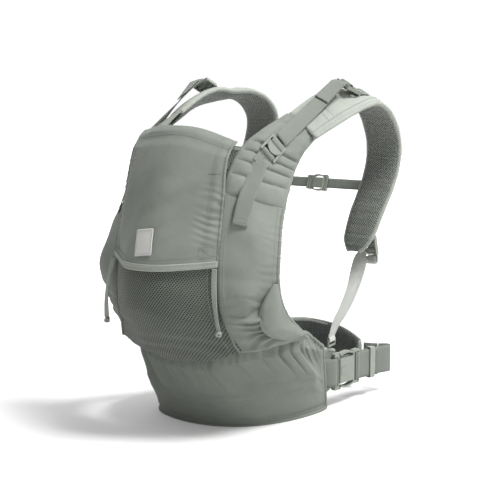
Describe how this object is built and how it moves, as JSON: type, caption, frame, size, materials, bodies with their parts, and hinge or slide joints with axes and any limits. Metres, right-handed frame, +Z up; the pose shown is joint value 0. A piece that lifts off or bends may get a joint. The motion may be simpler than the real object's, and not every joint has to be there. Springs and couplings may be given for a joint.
{
  "type": "soft baby carrier",
  "caption": "Structured soft baby carrier: mesh seat panel with lift-up head flap, padded shoulder straps, chest strap, and padded waist belt with side-release buckle.",
  "frame": {"origin": "centre of the closed waist belt's ring at the belt's mid height, on the wearer's waist axis", "axes": "+Z up along the wearer's body, +X to the carrier's right-hand side, the panel's outer face towards -Y"},
  "size_m": [0.3748, 0.5421, 0.5762],
  "materials": {
    "twill": "matt woven twill",
    "mesh": "matt spacer mesh with small holes",
    "dark_mesh": "matt dark spacer mesh",
    "foam": "foam inside a cloth cover",
    "binding": "matt folded binding tape",
    "webbing": "matt ribbed webbing",
    "tape": "matt flat draw tape",
    "label": "satin woven label",
    "plastic": "moulded with a fine grain"
  },
  "bodies": {
    "carrier": {"mesh_panel": "mesh", "wing_right": "twill", "wing_left": "twill", "yoke_right": "twill", "yoke_left": "twill", "leg_pad_right": "twill", "leg_pad_left": "twill", "belt_pad": "foam", "belt_lining": "dark_mesh", "belt_skirt": "twill", "strap_cover_right": "twill", "strap_cover_left": "twill", "strap_foam_right": "foam", "strap_foam_left": "foam", "strap_lining_right": "mesh", "strap_lining_left": "mesh", "lock_tabs_right": "webbing", "lock_tabs_left": "webbing", "lifter_webbing_right": "webbing", "lifter_webbing_left": "webbing", "lower_webbing_right": "webbing", "lower_webbing_left": "webbing", "waist_female": "plastic", "waist_anchor": "webbing", "waist_webbing": "webbing", "belt_loop_right": "plastic", "belt_loop_left": "plastic", "chest_rail_right": "webbing", "chest_rail_left": "webbing"},
    "flap_body": {"flap": "twill", "flap_hem": "binding", "head_roll": "twill", "flap_label": "label", "drawcord_right": "tape", "drawcord_left": "tape", "drawcord_knot_right": "tape", "drawcord_knot_left": "tape"},
    "waist_male_half": {"waist_male": "plastic", "waist_webbing_loop": "webbing"},
    "waist_arm_upper": {"waist_arm_upper": "plastic"},
    "waist_arm_lower": {"waist_arm_lower": "plastic"},
    "waist_button": {"waist_button": "plastic"},
    "webbing_keeper": {"webbing_keeper": "webbing"},
    "chest_set": {"chest_female": "plastic", "chest_webbing_right": "webbing", "chest_slider_right": "plastic", "chest_slider_left": "plastic"},
    "chest_male_half": {"chest_male": "plastic", "chest_webbing_left": "webbing"},
    "chest_arm_upper": {"chest_arm_upper": "plastic"},
    "chest_arm_lower": {"chest_arm_lower": "plastic"},
    "panel_lock_right": {"panel_lock_right": "plastic"},
    "panel_lock_left": {"panel_lock_left": "plastic"},
    "top_lock_right": {"top_lock_right": "plastic"},
    "top_lock_left": {"top_lock_left": "plastic"},
    "end_lock_right": {"end_lock_right": "plastic"},
    "end_lock_left": {"end_lock_left": "plastic"}
  },
  "joints": [
    {"name": "flap_lift", "type": "hinge", "parent": "carrier", "child": "flap_body", "pos_m": [0, -0.24, 0.433], "axis": [-1, 0, 0], "range_deg": [0, 160]},
    {"name": "waist_release", "type": "slide", "parent": "carrier", "child": "waist_male_half", "axis": [0.03, 0.9996, 0], "range_m": [0, 0.04]},
    {"name": "waist_arm_upper_squeeze", "type": "hinge", "parent": "waist_male_half", "child": "waist_arm_upper", "pos_m": [0.12179, 0.08698, 0.0277], "axis": [0.9996, -0.03, 0], "range_deg": [0, 3.5], "stiffness_Nm_per_rad": 2},
    {"name": "waist_arm_lower_squeeze", "type": "hinge", "parent": "waist_male_half", "child": "waist_arm_lower", "pos_m": [0.12179, 0.08698, -0.0277], "axis": [-0.9996, 0.03, 0], "range_deg": [0, 3.5], "stiffness_Nm_per_rad": 2},
    {"name": "waist_button_press", "type": "hinge", "parent": "carrier", "child": "waist_button", "pos_m": [0.1272, 0.05731, 0], "axis": [0, 0, -1], "range_deg": [0, 5], "stiffness_Nm_per_rad": 0.5},
    {"name": "keeper_slide", "type": "slide", "parent": "waist_male_half", "child": "webbing_keeper", "axis": [0.1903, 0.9817, 0], "range_m": [-0.008, 0.008]},
    {"name": "chest_height", "type": "slide", "parent": "carrier", "child": "chest_set", "axis": [0, 0.29, 0.957], "range_m": [-0.025, 0.025]},
    {"name": "chest_release", "type": "slide", "parent": "chest_set", "child": "chest_male_half", "axis": [-1, 0, 0], "range_m": [0, 0.022]},
    {"name": "chest_arm_upper_squeeze", "type": "hinge", "parent": "chest_male_half", "child": "chest_arm_upper", "pos_m": [-0.0085, 0.15904, 0.33218], "axis": [0, 0.957, -0.29], "range_deg": [0, 4], "stiffness_Nm_per_rad": 0.5},
    {"name": "chest_arm_lower_squeeze", "type": "hinge", "parent": "chest_male_half", "child": "chest_arm_lower", "pos_m": [-0.0085, 0.15196, 0.30882], "axis": [0, -0.957, 0.29], "range_deg": [0, 4], "stiffness_Nm_per_rad": 0.5},
    {"name": "panel_lock_right_tilt", "type": "hinge", "parent": "carrier", "child": "panel_lock_right", "pos_m": [0.131, -0.181, 0.396], "axis": [0.4054, 0.5058, -0.7614], "range_deg": [0, 30]},
    {"name": "panel_lock_left_tilt", "type": "hinge", "parent": "carrier", "child": "panel_lock_left", "pos_m": [-0.131, -0.181, 0.396], "axis": [0.4054, -0.5058, 0.7614], "range_deg": [0, 30]},
    {"name": "top_lock_right_tilt", "type": "hinge", "parent": "carrier", "child": "top_lock_right", "pos_m": [0.1576, 0.0274, 0.495], "axis": [-0.8833, 0.2572, 0.3919], "range_deg": [0, 30]},
    {"name": "top_lock_left_tilt", "type": "hinge", "parent": "carrier", "child": "top_lock_left", "pos_m": [-0.1576, 0.0274, 0.495], "axis": [-0.8833, -0.2572, -0.3919], "range_deg": [0, 30]},
    {"name": "end_lock_right_tilt", "type": "hinge", "parent": "carrier", "child": "end_lock_right", "pos_m": [0.1336, 0.1223, 0.2314], "axis": [0.9641, -0.2558, 0.0715], "range_deg": [0, 30]},
    {"name": "end_lock_left_tilt", "type": "hinge", "parent": "carrier", "child": "end_lock_left", "pos_m": [-0.1336, 0.1223, 0.2314], "axis": [0.9641, 0.2558, -0.0715], "range_deg": [0, 30]}
  ]
}
